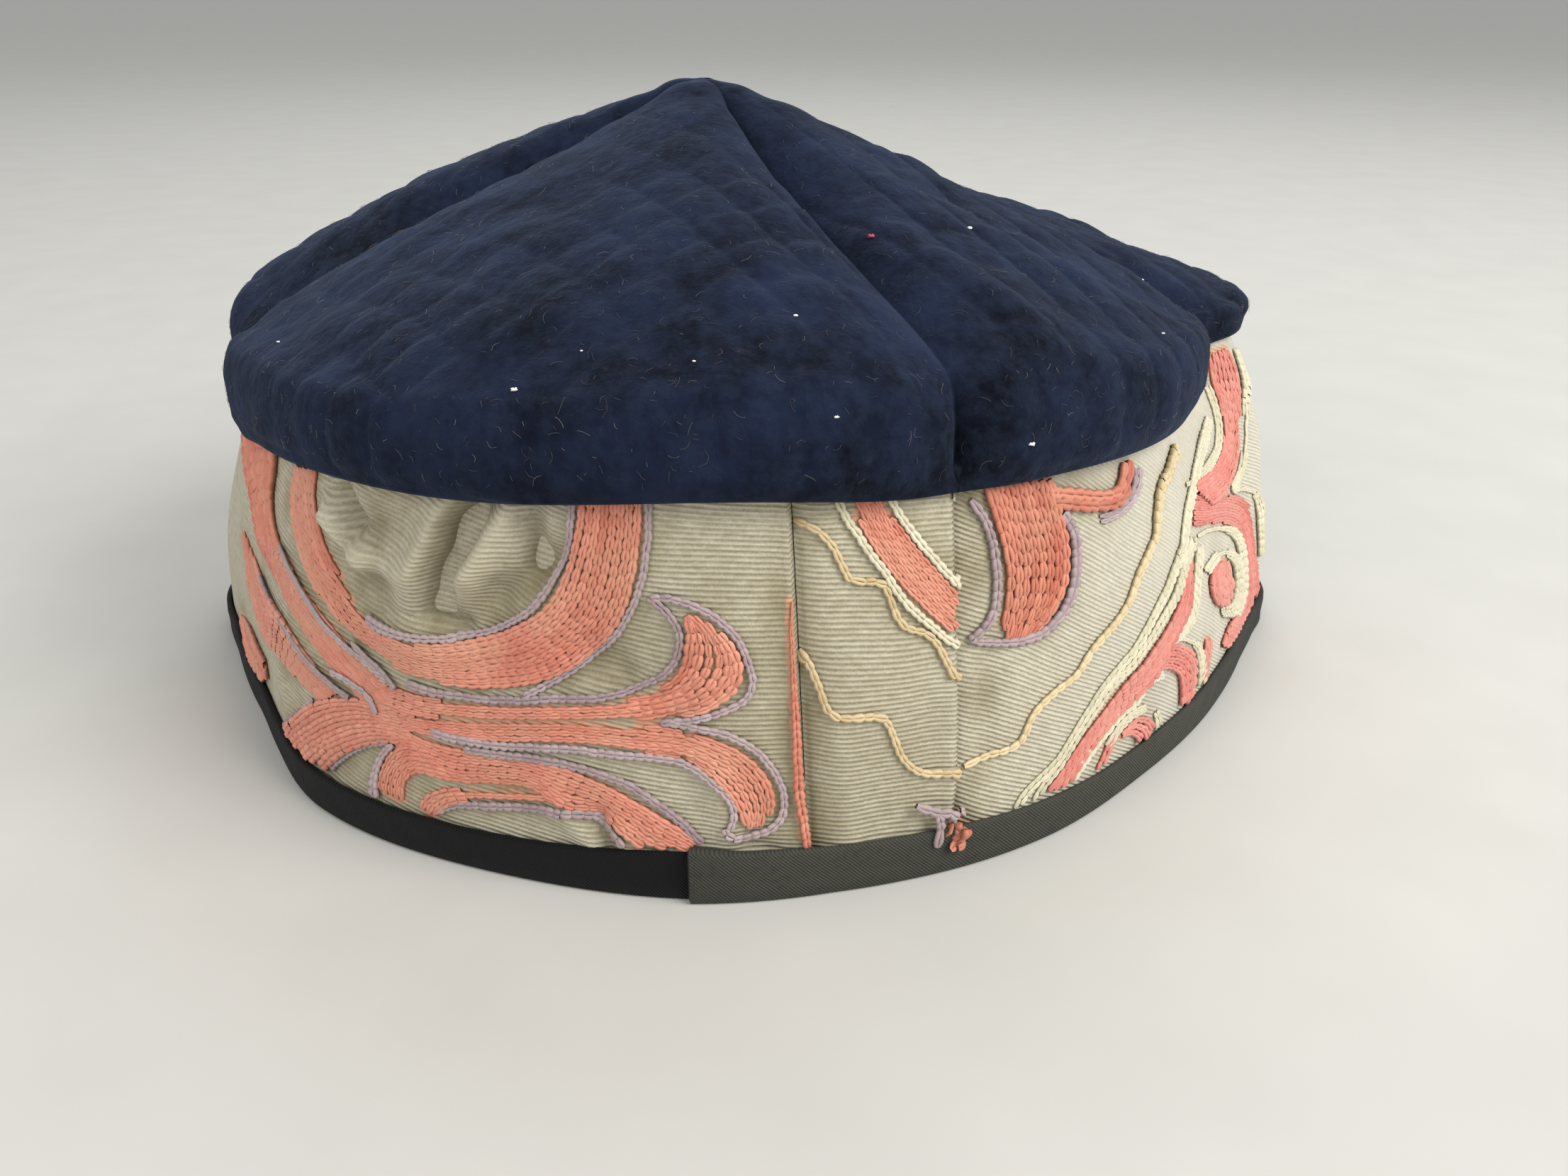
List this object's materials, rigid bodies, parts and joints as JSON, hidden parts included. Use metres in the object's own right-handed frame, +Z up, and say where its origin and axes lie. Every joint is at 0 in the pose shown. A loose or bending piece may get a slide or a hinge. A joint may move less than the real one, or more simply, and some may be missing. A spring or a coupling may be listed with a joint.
{
  "type": "tubeteika skullcap",
  "caption": "Padded four-gore velvet skullcap on a pieced, embroidered cloth band with a taped lower edge.",
  "frame": {"origin": "middle of the plane that the taped lower edge rests on", "axes": "+Z up through the crown, +X along the long side of the head opening, -Y towards the lapped end of the tape"},
  "size_m": [0.2035, 0.1717, 0.0985],
  "materials": {
    "velvet": "mottled dark navy cotton velvet, quilted, with lint",
    "ribbed_cloth": "grey-green ribbed silk and cotton cloth with faint olive stains",
    "tape": "black twill bias tape, faded on one side",
    "coral_thread": "coral and red embroidery thread in chain stitch",
    "lilac_thread": "faded lilac embroidery thread in chain stitch",
    "cream_thread": "cream and ochre embroidery thread in chain stitch"
  },
  "bodies": {
    "root": {"crown_front_left": "velvet", "crown_front_right": "velvet", "crown_back_right": "velvet", "crown_back_left": "velvet", "band_left": "ribbed_cloth", "band_insert": "ribbed_cloth", "band_right": "ribbed_cloth", "edge_binding": "tape"}
  },
  "joints": []
}
